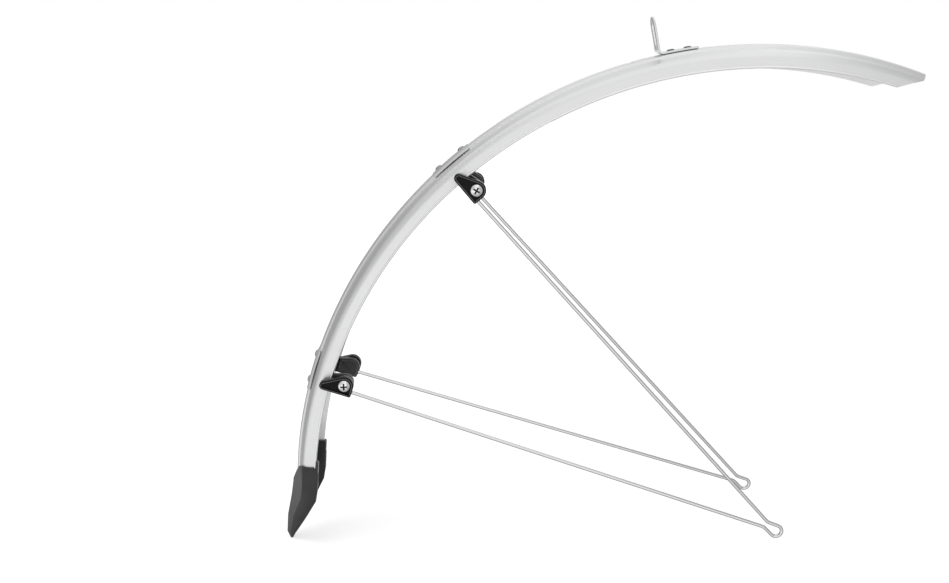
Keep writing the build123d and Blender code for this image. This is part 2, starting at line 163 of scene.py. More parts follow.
# %% Floor finish
floor_finish, floor_shader = new_finish(
    "studio_floor", Base_Color=(0.9, 0.9, 0.9, 1), Roughness=1.0, Specular_IOR_Level=0.0)
far_off = add_node(floor_finish, "ShaderNodeVectorMath", operation="LENGTH")
wire_up(place(floor_finish), far_off.inputs[0])
floor_glow = add_node(floor_finish, "ShaderNodeEmission")
glow_strength = spread(floor_finish, far_off.outputs["Value"], 0.4, 1.8, 0.63, 1.0)
wire_up(glow_strength, floor_glow.inputs["Strength"])
floor_shade = add_node(floor_finish, "ShaderNodeBsdfDiffuse", Color=(0.7, 0.7, 0.7, 1))
floor_seen = add_node(floor_finish, "ShaderNodeAddShader")
wire_up(floor_glow.outputs[0], floor_seen.inputs[0])
wire_up(floor_shade.outputs[0], floor_seen.inputs[1])
floor_mix = add_node(floor_finish, "ShaderNodeMixShader")
wire_up(seen_directly(floor_finish), floor_mix.inputs[0])
wire_up(floor_shader.outputs[0], floor_mix.inputs[1])
wire_up(floor_seen.outputs[0], floor_mix.inputs[2])
wire_up(floor_mix.outputs[0], floor_finish.node_tree.nodes["Material Output"].inputs[0])
floor.data.materials.append(floor_finish)
print("finish:", floor_finish.name)

# %% [markdown]
# Silver and chrome need something darker to mirror, or they wash out against a white room.
# Photographers stand grey cards round the object for that. Here the world does it: where a glossy ray
# leaves toward one of a few sides, the room falls softly from white to a grey. The camera itself
# still sees plain white, and rays that only carry light see a dimmer room, so colours stay as written.

# %% World with grey sides
world = bpy.data.worlds.new("studio")
world.use_nodes = True
scene.world = world
backdrop = world.node_tree.nodes["Background"]
backdrop.inputs["Color"].default_value = (1, 1, 1, 1)
heading = add_node(world, "ShaderNodeTexCoord")


def grey_side(turn, rise, inner, outer, shade):
    """Strength that falls to a shade toward one side. Turn is clockwise from straight behind, in degrees."""
    level = cos(radians(rise))
    toward = Vector((level * sin(radians(turn)), level * cos(radians(turn)), sin(radians(rise))))
    near = add_node(world, "ShaderNodeVectorMath", operation="DOT_PRODUCT")
    wire_up(heading.outputs["Generated"], near.inputs[0])
    near.inputs[1].default_value = toward
    return spread(world, near.outputs["Value"], cos(radians(outer)), cos(radians(inner)), 1.0, shade)


grey_sides = (
    (-55, 2, 20, 52, 0.30),
    (-112, 26, 15, 42, 0.56),
    (90, 0, 54, 68, 0.48),
    (-162, 32, 15, 45, 0.83),
    (-14, 34, 20, 34, 0.76),
    (-60, 74, 16, 40, 0.82),
    (0, -90, 30, 74, 0.45),
)
room = grey_side(*grey_sides[0])
for side in grey_sides[1:]:
    darker = add_node(world, "ShaderNodeMath", operation="MULTIPLY")
    wire_up(room, darker.inputs[0])
    wire_up(grey_side(*side), darker.inputs[1])
    room = darker.outputs[0]
room_light = 0.42
by_ray = add_node(world, "ShaderNodeMix")
wire_up(add_node(world, "ShaderNodeLightPath").outputs["Is Glossy Ray"], by_ray.inputs[0])
wire_up(spread(world, seen_directly(world), 0, 1, room_light, 1.0), by_ray.inputs[2])
wire_up(room, by_ray.inputs[3])
wire_up(by_ray.outputs[0], backdrop.inputs["Strength"])
print("world:", len(world.node_tree.nodes), "nodes")

# %% [markdown]
# Three soft lamps. The wide ones in front and overhead fill the shapes, and a smaller one on the left
# throws the flap's short shadow on the floor. Area lamps give soft edges to a shadow, as a softbox does.
# Reflections see the room in place of the lamps.

# %% Lamps
def soft_lamp(name, at, aim, size, power):
    """A square area lamp pointed at a place."""
    data = bpy.data.lights.new(name, "AREA")
    data.size = size
    data.energy = power
    lamp = bpy.data.objects.new(name, data)
    lamp.location = at
    lamp.rotation_mode = "QUATERNION"
    lamp.rotation_quaternion = (Vector(aim) - Vector(at)).to_track_quat("-Z", "Y")
    lamp.visible_glossy = False
    scene.collection.objects.link(lamp)


soft_lamp("front_softbox", (-0.4, -1.9, 0.7), (-0.1, 0, 0.15), 1.4, 2.0)
soft_lamp("top_softbox", (0.1, -0.2, 1.9), (-0.1, 0, 0.15), 1.2, 4.0)
soft_lamp("left_softbox", (-0.6, -0.25, 1.1), (-0.35, 0, -0.05), 0.6, 3.6)
print("lamps:", [light.name for light in bpy.data.lights])

# %% [markdown]
# Helpers for patterns. A colour ramp over noise gives slow changes of shade, and Bump gives fine relief.
# Where one part of a piece has another shade, such as a rubbed rim, its faces carry a number in an attribute
# of the mesh. The finish reads that number and mixes in the other colour, so one material does for the piece.

# %% Pattern helpers
def noise(material, vector, scale, detail):
    """The value of a noise pattern on a vector."""
    node = add_node(material, "ShaderNodeTexNoise", Scale=scale, Detail=detail)
    wire_up(vector, node.inputs["Vector"])
    return node.outputs["Fac"]


def shades(material, value, stops):
    """A colour ramp over a value, from (place, colour) stops."""
    node = add_node(material, "ShaderNodeValToRGB")
    while len(node.color_ramp.elements) < len(stops):
        node.color_ramp.elements.new(0.5)
    for element, (stop, colour) in zip(node.color_ramp.elements, stops):
        element.position = stop
        element.color = (*colour, 1.0)
    wire_up(value, node.inputs["Fac"])
    return node.outputs["Color"]


def bump(material, shader, height, distance, strength):
    """A height turned into small bumps on the shader's normal."""
    node = add_node(material, "ShaderNodeBump", Strength=strength, Distance=distance)
    wire_up(height, node.inputs["Height"])
    wire_up(node.outputs["Normal"], shader.inputs["Normal"])


def tint_where(material, attribute, colour):
    """Base colour mixed toward another by an attribute of the mesh itself."""
    target = material.node_tree.nodes["Principled BSDF"].inputs["Base Color"]
    mix = add_node(material, "ShaderNodeMix", data_type="RGBA")
    amount = add_node(material, "ShaderNodeAttribute", attribute_name=attribute)
    wire_up(amount.outputs["Fac"], mix.inputs[0])
    wire_up(target.links[0].from_socket, mix.inputs[6])
    mix.inputs[7].default_value = (*colour, 1)
    wire_up(mix.outputs[2], target)


# %% [markdown]
# Blade finish: silver plastic over a metal core, satin rather than mirror bright. Tiny flakes sparkle in it,
# rolling leaves faint lines along the arc, and handling leaves a few dull smudges.
# The rolled lines need a coordinate that follows the arc, and the distance from the axle gives it.
# The rolled beads along the edges are tinted brighter than the rest, a painted highlight along each edge.

# %% Blade finish
blade_finish, blade_shader = new_finish("satin_silver", Metallic=0.8, Specular_IOR_Level=0.4)
spot = place(blade_finish)
flakes = noise(blade_finish, spot, 5200, 1.0)
smudges = noise(blade_finish, spot, 28, 4.0)
flat_spot = add_node(blade_finish, "ShaderNodeVectorMath", operation="MULTIPLY")
flat_spot.inputs[1].default_value = (1, 0, 1)
wire_up(spot, flat_spot.inputs[0])
from_axle = add_node(blade_finish, "ShaderNodeVectorMath", operation="LENGTH")
wire_up(flat_spot.outputs["Vector"], from_axle.inputs[0])
split = add_node(blade_finish, "ShaderNodeSeparateXYZ")
wire_up(spot, split.inputs[0])
lengthwise = add_node(blade_finish, "ShaderNodeCombineXYZ")
wire_up(from_axle.outputs["Value"], lengthwise.inputs[0])
wire_up(split.outputs["Y"], lengthwise.inputs[1])
rolled = noise(blade_finish, lengthwise.outputs[0], 1500, 2.0)
tone = add_node(blade_finish, "ShaderNodeMath", operation="MULTIPLY_ADD")
wire_up(flakes, tone.inputs[0])
tone.inputs[1].default_value = 0.6
wire_up(spread(blade_finish, rolled, 0.3, 0.7, 0.0, 0.4), tone.inputs[2])
silver = shades(blade_finish, tone.outputs[0], ((0.2, (0.86, 0.865, 0.87)), (0.8, (0.905, 0.905, 0.91))))
wire_up(silver, blade_shader.inputs["Base Color"])
wire_up(spread(blade_finish, smudges, 0.35, 0.7, 0.29, 0.36), blade_shader.inputs["Roughness"])
bump(blade_finish, blade_shader, rolled, 0.000003, 0.3)
# The beads' faces are painted brighter, a painted highlight along each edge.
tint_where(blade_finish, "painted_bead_highlight", (0.99, 0.99, 0.99))
print("finish:", blade_finish.name)

# %% [markdown]
# Moulded black plastic for the bridges, the caps and the flap. Spark-eroded moulds leave a very fine even
# grain, and the sheen is low. Some faces are painted paler: a painted highlight on rims and a painted sheen
# on the flap's back facets. The flap is softer and greyer.
# One function makes both, because only the shades, the grain and the gloss differ.

# %% Black plastic finish
def moulded_plastic(name, dark, pale, grain, roughness, gloss):
    """Black plastic with a fine mould grain, slow changes of shade, and marked faces painted paler as painted
    light.
    """
    material, shader = new_finish(name, Specular_IOR_Level=gloss)
    at = place(material)
    cloud = noise(material, at, 90, 4.0)
    wire_up(shades(material, cloud, ((0.3, dark), (0.75, pale))), shader.inputs["Base Color"])
    # Marked faces are painted paler: painted highlights on rims and a painted sheen on backward facets.
    tint_where(material, "painted_light", (0.16, 0.16, 0.165))
    texture = noise(material, at, grain, 2.0)
    wire_up(spread(material, texture, 0.3, 0.7, roughness - 0.07, roughness + 0.07),
            shader.inputs["Roughness"])
    bump(material, shader, texture, 0.00002, 0.4)
    return material


clip_finish = moulded_plastic("moulded_black", (0.006, 0.006, 0.007), (0.012, 0.012, 0.013), 3200, 0.24, 0.14)
flap_finish = moulded_plastic("flap_rubber", (0.018, 0.018, 0.019), (0.028, 0.028, 0.029), 2200, 0.32, 0.5)
print("finishes:", clip_finish.name, flap_finish.name)

# %% [markdown]
# Metal finishes. The stays are drawn steel wire, the bracket is zinc-plated sheet, the strips and rivets are
# aluminium and the screws are chromed. All are metals: the colour sits in the reflection,
# and a small change of roughness from place to place is what makes them look made rather than painted.
# Tints paint light and shade onto single pieces: painted shade on the bracket's back and painted light in its
# slot, a painted shadow under the strips' lips, painted shade in a screw's cross, and darker fork rivets. A
# black edge tint gives the wire's sides a painted shade.

# %% Metal finishes
def metal(name, dark, pale, scale, stretch, rough_low, rough_high, relief):
    """A metal whose colour and roughness vary with stretched noise."""
    material, shader = new_finish(name, Metallic=1.0)
    mapping = add_node(material, "ShaderNodeMapping", Scale=stretch)
    wire_up(place(material), mapping.inputs["Vector"])
    marks = noise(material, mapping.outputs[0], scale, 3.0)
    wire_up(shades(material, marks, ((0.3, dark), (0.7, pale))), shader.inputs["Base Color"])
    wire_up(spread(material, marks, 0.3, 0.7, rough_low, rough_high), shader.inputs["Roughness"])
    bump(material, shader, marks, relief, 0.4)
    return material


wire_finish = metal("drawn_steel", (0.76, 0.76, 0.77), (0.85, 0.85, 0.86),
                    3600, (1, 1, 1), 0.09, 0.16, 0.000002)
# The black specular tint darkens the wire's grazing sides, a painted shade.
wire_finish.node_tree.nodes["Principled BSDF"].inputs["Specular Tint"].default_value = (0, 0, 0, 1)
bracket_finish = metal("zinc_plate", (0.70, 0.705, 0.71), (0.82, 0.825, 0.83),
                       2400, (1, 0.3, 1), 0.18, 0.30, 0.000003)
# The tab's back is painted darker, a painted shade, and the slot's wall brighter, painted light.
tint_where(bracket_finish, "painted_back_shade", (0.46, 0.46, 0.465))
tint_where(bracket_finish, "bright", (0.98, 0.98, 0.98))
strip_finish = metal("rolled_aluminium", (0.88, 0.885, 0.89), (0.94, 0.94, 0.945),
                     3000, (1, 0.1, 1), 0.29, 0.36, 0.000002)
# Down-facing faces of the strips are painted dark, a painted shadow from the crease.
tint_where(strip_finish, "painted_lip_shadow", (0.08, 0.08, 0.08))
# The rivets are set much darker than the strips' aluminium: the metal's own tone with a painted shade round
# their heads.
rivet_finish = metal("rivet_aluminium", (0.46, 0.46, 0.47), (0.62, 0.62, 0.63),
                     2600, (1, 1, 1), 0.26, 0.4, 0.000004)
tint_where(rivet_finish, "tinted_darker", (0.17, 0.17, 0.175))
screw_finish = metal("bright_chrome", (0.90, 0.905, 0.91), (0.96, 0.965, 0.97),
                     900, (1, 1, 1), 0.08, 0.16, 0.00001)
tint_where(screw_finish, "painted_recess_shade", (0.04, 0.04, 0.042))
print("metals:", [m.name for m in (wire_finish, bracket_finish, strip_finish, rivet_finish, screw_finish)])

# %% [markdown]
# Helpers for shapes. Angles are measured at the axle, from straight ahead upward and over to the back,
# and a section of the blade is given as (across, reach) pairs in millimetres, as on a drawing.
# Spin sweeps such a section round the axle. It takes an arc in one step, where a curve with a bevel object
# would have to be turned into a mesh first.

# %% Directions and sections
mm = 0.001
axle = Vector((0, 0, 0))
across = Vector((0, 1, 0))


def outward(angle):
    """Unit vector from the axle at an angle."""
    return Vector((cos(radians(angle)), 0, sin(radians(angle))))


def onward(angle):
    """Unit vector along the arc toward the front tip."""
    return Vector((sin(radians(angle)), 0, -cos(radians(angle))))


def both_sides(half_line):
    """A half section and its mirror image as one line from side to side."""
    return [(-side, reach) for side, reach in reversed(half_line)] + list(half_line)


def section_line(bm, points, angle, closed=False):
    """Vertices and edges of a section's line at an angle, from (across, reach) points in millimetres."""
    verts = [bm.verts.new(outward(angle) * reach * mm + across * side * mm) for side, reach in points]
    edges = [bm.edges.new(pair) for pair in zip(verts, verts[1:])]
    if closed:
        edges.append(bm.edges.new((verts[-1], verts[0])))
    return verts + edges


def sweep_arc(bm, geom, start, end, steps):
    """A section spun about the axle from one angle to another."""
    bmesh.ops.spin(bm, geom=geom, cent=axle, axis=across, angle=radians(start - end), steps=steps)


print("straight up is at 90 degrees:", [round(number, 3) for number in outward(90)])

# %% [markdown]
# Every piece ends in the same way. Bevels that meet leave a few edges of no length, and Dissolve Degenerate
# closes those. The mesh becomes an object at the origin, with smooth faces that are sharp only where two
# faces meet at a hard angle. It rides on the root body, because nothing on a mudguard moves,
# and it hides the solid that it stands for.

# %% Rounding and finishing
def round_edges(bm, edges, offset, segments):
    """Edges rounded by a bevel, its width measured along the faces."""
    return bmesh.ops.bevel(bm, geom=edges, offset=offset, offset_type="OFFSET", segments=segments,
                           profile=0.5, affect="EDGES", material=-1, clamp_overlap=True)


def make_piece(bm, name, finish, nodes, hard=35):
    """The finished piece: faces smooth up to a hard angle, riding on the root body."""
    bmesh.ops.dissolve_degenerate(bm, dist=1e-8, edges=bm.edges)
    mesh = bpy.data.meshes.new(name)
    bm.to_mesh(mesh)
    bm.free()
    mesh.shade_smooth()
    mesh.set_sharp_from_angle(angle=radians(hard))
    mesh.materials.append(finish)
    piece = bpy.data.objects.new(name, mesh)
    scene.collection.objects.link(piece)
    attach(piece, "root")
    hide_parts(*nodes)
    triangles = sum(len(face.vertices) - 2 for face in mesh.polygons)
    print(name, "triangles:", triangles, "replaces:", nodes)


# %% [markdown]
# The blade is one long strip with a constant section: a raised crown band, a crease on each side, shoulders,
# and side walls that lean outward. A constant section round a circle is what Spin is for,
# so five corner points a side are spun about the axle, and bevels round the long edges afterward.

# %% Blade strip
crown_reach = 362.0
edge_reach = 344.4
tail_angle = 177.8
tip_angle = 66.0
half_section = ((5.5, crown_reach), (9.2, 360.85), (10.1, 359.0), (21.3, 355.4), (22.5, edge_reach))
corner_rounds = (2.8, 0.6, 0.6, 4.5)
corner_steps = (4, 3, 3, 10)
blade_bm = bmesh.new()
painted_bead_highlight = blade_bm.faces.layers.float.new("painted_bead_highlight")
sweep_arc(blade_bm, section_line(blade_bm, both_sides(half_section), tail_angle), tail_angle, tip_angle, 168)


def long_edges(bm, side, reach):
    """Edges that run along the arc at one point of the section, on both sides."""
    def here(vert):
        off_side = abs(vert.co.y) - side * mm
        off_reach = hypot(vert.co.x, vert.co.z) - reach * mm
        return abs(off_side) < 1e-6 and abs(off_reach) < 1e-6
    return [edge for edge in bm.edges if all(here(vert) for vert in edge.verts)]


for (side, reach), width, steps in zip(half_section, corner_rounds, corner_steps):
    round_edges(blade_bm, long_edges(blade_bm, side, reach), width * mm, steps)
print("strip faces:", len(blade_bm.faces))

# %% [markdown]
# The front tip is sheared on a slant, and its tongue at the crown is rounded. Bisect Plane cuts the strip and
# clears what lies beyond, and leaves the rest of the curve as it is, which a boolean wouldn't promise.
# One cut makes the slant, and a fan of nine small ones makes the round nose.

# %% Front cut of the blade
corner_angle = 73.7
slant = 31.0
nose_angle = 69.85
nose_radius = 36.0


def trim(bm, point, normal, near_angle):
    """Everything beyond a plane cut off, near the front tip only."""
    verts = [v for v in bm.verts if atan2(v.co.z, v.co.x) < radians(near_angle)]
    near = set(verts)
    edges = [e for e in bm.edges if near.issuperset(e.verts)]
    faces = [f for f in bm.faces if near.issuperset(f.verts)]
    bmesh.ops.bisect_plane(bm, geom=verts + edges + faces, dist=1e-6,
                           plane_co=point, plane_no=normal, clear_outer=True)


slant_way = onward(corner_angle) * sin(radians(slant)) - outward(corner_angle) * cos(radians(slant))
trim(blade_bm, outward(corner_angle) * edge_reach * mm, slant_way, 90)
nose_middle = outward(nose_angle) * crown_reach - onward(nose_angle) * nose_radius
for turn in range(-32, 33, 8):
    facing = Matrix.Rotation(radians(turn), 3, outward(nose_angle)) @ onward(nose_angle)
    trim(blade_bm, (nose_middle + facing * nose_radius) * mm, facing, 80)
print("tip at x:", round(max(v.co.x for v in blade_bm.verts), 4))

# %% [markdown]
# So far the blade is a sheet without thickness. Solidify gives it its wall, on the inner side, once all the
# normals look away from the axle. Both edges of the real blade are rolled into a bead, which stiffens them:
# here a small capped circle is spun along each edge. Its faces are marked, and the finish paints them
# brighter, a painted highlight.

# %% Blade wall and beads
blade_wall = 1.1
bead_radius = 0.9
bead_side = 22.6
bead_reach = 345.1
highlight_within = 1.0


def turn_faces(bm, way=None):
    """Normals that agree, the furthest face looking away from the axle or another way."""
    bmesh.ops.recalc_face_normals(bm, faces=bm.faces)
    furthest = max(bm.faces, key=lambda face: face.calc_center_median().length)
    if furthest.normal.dot(furthest.calc_center_median() if way is None else way) < 0:
        bmesh.ops.reverse_faces(bm, faces=bm.faces)


turn_faces(blade_bm)
bmesh.ops.solidify(blade_bm, geom=blade_bm.faces[:], thickness=blade_wall * mm)
for side in (1, -1):
    middle = outward(tail_angle) * bead_reach * mm + across * side * bead_side * mm
    turned = Matrix.Translation(middle) @ onward(tail_angle).to_track_quat("Z", "Y").to_matrix().to_4x4()
    bead = bmesh.ops.create_circle(blade_bm, cap_ends=True, segments=12, radius=bead_radius * mm,
                                   matrix=turned)["verts"]
    geom = [f for f in blade_bm.faces if all(v in bead for v in f.verts)]
    geom += [e for e in blade_bm.edges if all(v in bead for v in e.verts)] + bead
    sweep_arc(blade_bm, geom, tail_angle, corner_angle + 0.1, 150)
# Faces near the beads are marked for the painted highlight.
for face in blade_bm.faces:
    at = face.calc_center_median() / mm
    from_bead = hypot(abs(at.y) - bead_side, hypot(at.x, at.z) - bead_reach)
    face[painted_bead_highlight] = float(from_bead < highlight_within)
make_piece(blade_bm, "blade_strip", blade_finish, ["blade"])

# %% [markdown]
# Four clips hold the wires, two at each bridge. Each is drawn once in a frame of its own, in millimetres,
# with the screw at the origin, and a matrix then sets it on the blade. That is easier than working out
# four tilted copies. The outlines are hulls of circles, so Convex Hull makes the blocks from rings of points.

# %% Clip frames
screw_reach = 333.3
screw_ahead = 2.0
clamp_half = 25.0
bridge_angles = {"upper": 130.2, "lower": 162.36}
hands = {"left": 1, "right": -1}


def arc_degrees(length, reach):
    """Angle at the axle that a length of arc takes up."""
    return length / reach / radians(1)


def clip_matrix(level, hand):
    """Place of a clip: x outward from the axle, y back along the arc, z off the blade, in millimetres."""
    angle = bridge_angles[level] - arc_degrees(screw_ahead, screw_reach)
    rows = Matrix((outward(angle), -onward(angle), across * hands[hand])).transposed()
    at = outward(angle) * screw_reach * mm + across * hands[hand] * clamp_half * mm
    return Matrix.Translation(at) @ rows.to_4x4() @ Matrix.Scale(mm, 4)


def verts_in(geom):
    """The vertices among what an operator gives back."""
    return [item for item in geom if isinstance(item, bmesh.types.BMVert)]


def each_once(items):
    """Items without repeats, in the order they came."""
    return list(dict.fromkeys(items))


def hull_block(bm, circles, bottom, top):
    """A block whose outline is the hull of circles given as ((x, y), radius)."""
    verts = []
    for height in (bottom, top):
        for middle, radius in circles:
            at = Matrix.Translation((*middle, height))
            verts += bmesh.ops.create_circle(bm, segments=48, radius=radius, matrix=at)["verts"]
    hull = bmesh.ops.convex_hull(bm, input=verts)
    bmesh.ops.delete(bm, geom=each_once(verts_in(hull["geom_interior"])), context="VERTS")
    kept = [v for v in verts if v.is_valid]
    edges = each_once(e for v in kept for e in v.link_edges)
    bmesh.ops.dissolve_limit(bm, angle_limit=radians(1), verts=kept, edges=edges)


for level in bridge_angles:
    print(level, "screw at", [round(number, 4) for number in clip_matrix(level, "right").translation])

# %% [markdown]
# A cap is a moulded teardrop: a round lobe over the screw, a square corner beside the wire, and a nose
# that presses on the blade. Bevels soften the outer edge, and Inset with an extrusion sinks the face to leave
# a raised rim, painted paler as a painted highlight. The disc under the screw and the peg under the nose are
# straight cones.

# %% Caps
cap_wall = 6.5
cap_circles = (((0, 0), 7.2), ((-5.7, 6.4), 1.5), ((15.4, 4.5), 3.4))
cap_discs = (((0, 0), 5.3, 4.5, 0.8), ((15.4, 4.5), 2.5, -2.2, 2.6))
rim_wide = 0.55
face_depth = 1.9
outer_round, seat_round, rim_round, face_round = 1.0, 0.3, 0.22, 0.5


def face_at(bm, height):
    """The widest flat face at a height."""
    flat = [f for f in bm.faces if abs(f.calc_center_median().z - height) < 1e-3 and abs(f.normal.z) > 0.99]
    return max(flat, key=lambda f: f.calc_area())


def sink(bm, face, depth):
    """A face extruded inward. Gives back the sunken face."""
    moved = bmesh.ops.extrude_face_region(bm, geom=[face])["geom"]
    bmesh.ops.delete(bm, geom=[face], context="FACES_ONLY")
    bmesh.ops.translate(bm, verts=verts_in(moved), vec=(0, 0, -depth))
    return next(f for f in moved if isinstance(f, bmesh.types.BMFace))


def add_cap(level, hand):
    """One cap with its rim, disc and peg, set in its place."""
    cap_bm = bmesh.new()
    painted_light = cap_bm.faces.layers.float.new("painted_light")
    hull_block(cap_bm, cap_circles, 0, cap_wall)
    round_edges(cap_bm, face_at(cap_bm, cap_wall).edges[:], outer_round, 4)
    round_edges(cap_bm, face_at(cap_bm, 0).edges[:], seat_round, 2)
    top = face_at(cap_bm, cap_wall)
    rim = bmesh.ops.inset_region(cap_bm, faces=[top], thickness=rim_wide, use_even_offset=True)["faces"]
    # The rim is painted paler, a painted highlight along it.
    for face in rim:
        face[painted_light] = 1.0
    rim_edges = top.edges[:]
    floor_face = sink(cap_bm, top, face_depth)
    round_edges(cap_bm, rim_edges, rim_round, 2)
    round_edges(cap_bm, floor_face.edges[:], face_round, 3)
    for middle, radius, bottom, height in cap_discs:
        at = Matrix.Translation((*middle, bottom + height / 2))
        bmesh.ops.create_cone(cap_bm, cap_ends=True, segments=40, radius1=radius, radius2=radius,
                              depth=height, matrix=at)
    bmesh.ops.transform(cap_bm, matrix=clip_matrix(level, hand), verts=cap_bm.verts)
    bmesh.ops.recalc_face_normals(cap_bm, faces=cap_bm.faces)
    make_piece(cap_bm, f"clip_cap_{level}_{hand}", clip_finish, [f"{level}_{hand}_cap"])


for level in bridge_angles:
    for hand in hands:
        add_cap(level, hand)

# %% [markdown]
# The stay screws have domed pan heads with a cross recess. A head is a few points of its outline spun once
# round. Planes then cut the dome along the edges of the cross, and the faces inside it are pushed down and
# drawn in, as the punch leaves them. Extrude keeps the faces that it starts from, so those are deleted.
# The recess's faces are marked and painted dark, a painted shade in the cross.

# %% Screw heads
def spun_profile(bm, points, steps):
    """A closed shape from (radius, height) points spun about z."""
    verts = [bm.verts.new((radius, 0, height)) for radius, height in points]
    edges = [bm.edges.new(pair) for pair in zip(verts, verts[1:])]
    bmesh.ops.spin(bm, geom=verts + edges, cent=(0, 0, 0), axis=(0, 0, 1), angle=2 * pi,
                   steps=steps, use_merge=True)
    bmesh.ops.remove_doubles(bm, verts=bm.verts, dist=1e-4)


def cross_recess(bm, half_width, half_length, lowest, depth):
    """A tapered cross pushed into the dome above a height."""
    def on_dome(face):
        return face.calc_center_median().z > lowest and face.normal.z > 0.1

    for axis in (Vector((1, 0, 0)), Vector((0, 1, 0))):
        for offset in (half_width, -half_width, half_length, -half_length):
            faces = [f for f in bm.faces if on_dome(f)]
            edges = each_once(e for f in faces for e in f.edges)
            verts = each_once(v for f in faces for v in f.verts)
            bmesh.ops.bisect_plane(bm, geom=faces + edges + verts, dist=1e-4,
                                   plane_co=axis * offset, plane_no=axis)

    def in_cross(face):
        x, y, _ = (abs(number) for number in face.calc_center_median())
        return min(x, y) < half_width and max(x, y) < half_length
    top = [f for f in bm.faces if on_dome(f) and in_cross(f)]
    moved = bmesh.ops.extrude_face_region(bm, geom=top)["geom"]
    bmesh.ops.delete(bm, geom=top, context="FACES")
    sunk = verts_in(moved)
    bmesh.ops.translate(bm, verts=sunk, vec=(0, 0, -depth))
    bmesh.ops.scale(bm, verts=sunk, vec=(0.6, 0.6, 1))
    # The cross's faces are painted dark, a painted shade in the recess.
    painted_recess_shade = bm.faces.layers.float["painted_recess_shade"]
    for face in each_once(face for vert in sunk for face in vert.link_faces):
        face[painted_recess_shade] = 1.0


# %% Screws
screw_outline = ((0, 3.0), (1.5, 2.86), (2.9, 2.42), (4.0, 1.8), (4.6, 1.25), (4.8, 0.8), (4.8, 0.15),
                 (4.65, 0), (2.45, 0), (2.45, -11), (0, -11))
cross_size = {"half_width": 0.65, "half_length": 2.7, "lowest": 1.9, "depth": 1.5}
cross_turn = 20
head_below_rim = 1.2


def take_in(bm, shell_bm):
    """A second bmesh added to the first, through a mesh that is then thrown away."""
    carrier = bpy.data.meshes.new("carrier")
    shell_bm.to_mesh(carrier)
    bm.from_mesh(carrier)
    shell_bm.free()
    bpy.data.meshes.remove(carrier)


screws_bm = bmesh.new()
for level in bridge_angles:
    for hand in hands:
        screw_bm = bmesh.new()
        screw_bm.faces.layers.float.new("painted_recess_shade")
        spun_profile(screw_bm, screw_outline, 48)
        bmesh.ops.recalc_face_normals(screw_bm, faces=screw_bm.faces)
        cross_recess(screw_bm, **cross_size)
        turned = Matrix.Rotation(radians(cross_turn), 4, "Z")
        seat = Matrix.Translation((0, 0, cap_wall - head_below_rim)) @ turned
        bmesh.ops.transform(screw_bm, matrix=clip_matrix(level, hand) @ seat, verts=screw_bm.verts)
        bmesh.ops.recalc_face_normals(screw_bm, faces=screw_bm.faces)
        take_in(screws_bm, screw_bm)
make_piece(screws_bm, "clip_screws", screw_finish, ["stay_screws"])

# %% [markdown]
# Blind rivets hold the bridges and the bracket. Pulling the pin leaves a small hole in the domed head,
# and a bulge on the inside. Both are spun outlines, and one rivet is placed at each angle.
# The bridges' rivets stand taller. The fork's rivets are tinted darker, so their faces are marked.

# %% Rivets
rivet_head = ((0, 0.25), (0.75, 0.25), (0.85, 0.93), (1.1, 1.0), (1.8, 0.93), (2.5, 0.64), (2.9, 0.29),
              (3.0, 0.07), (3.0, 0), (0, 0))
rivet_tail = ((0, 0), (2.5, 0), (2.6, 0.3), (2.2, 1.0), (1.6, 1.2), (0.8, 1.2), (0.7, 0.8), (0, 0.8))
bridge_rivet = {"seat": 362.7, "rise": 1.4, "grip": 4.4}
bridge_rivet_arcs = (-11.25, 11.25)
fork_rivet = {"seat": 363.6, "rise": 1.0, "grip": 2.8}
fork_rivet_arcs = (9.5, 22.3)
bracket_angle = 102.2


def add_rivet(bm, angle, seat, rise, grip):
    """A domed head with its pin hole on a seat, and a bulged tail below the grip."""
    rivet_bm = bmesh.new()
    spun_profile(rivet_bm, [(radius, height * rise) for radius, height in rivet_head], 32)
    spun_profile(rivet_bm, [(radius, -grip - drop) for radius, drop in rivet_tail], 32)
    rows = Matrix((across, -onward(angle), outward(angle))).transposed().to_4x4()
    at = Matrix.Translation(outward(angle) * seat * mm) @ rows @ Matrix.Scale(mm, 4)
    bmesh.ops.transform(rivet_bm, matrix=at, verts=rivet_bm.verts)
    bmesh.ops.recalc_face_normals(rivet_bm, faces=rivet_bm.faces)
    take_in(bm, rivet_bm)


bridge_rivet_bm = bmesh.new()
for angle in bridge_angles.values():
    for arc in bridge_rivet_arcs:
        add_rivet(bridge_rivet_bm, angle + arc_degrees(arc, crown_reach), **bridge_rivet)
make_piece(bridge_rivet_bm, "bridge_rivet_heads", rivet_finish, ["bridge_rivets"])

fork_rivet_bm = bmesh.new()
for arc in fork_rivet_arcs:
    add_rivet(fork_rivet_bm, bracket_angle - arc_degrees(arc, crown_reach), **fork_rivet)
tinted_darker = fork_rivet_bm.faces.layers.float.new("tinted_darker")
for face in fork_rivet_bm.faces:
    face[tinted_darker] = 1.0
make_piece(fork_rivet_bm, "fork_rivet_heads", rivet_finish, ["fork_rivets"])

# %% [markdown]
# A metal strip lies on the crown over each bridge, so that the rivets don't tear the plastic.
# It is sheet bent to the crown's own section, with lips that reach down to the crease on each side.
# A short piece of that section is spun over the strip's length, its corners are rounded, and Solidify adds
# the wall on the outside, because the normals look inward. Faces that look down, such as the lips' cut edges,
# are painted dark, a painted shadow from the crease, most so at mid length.

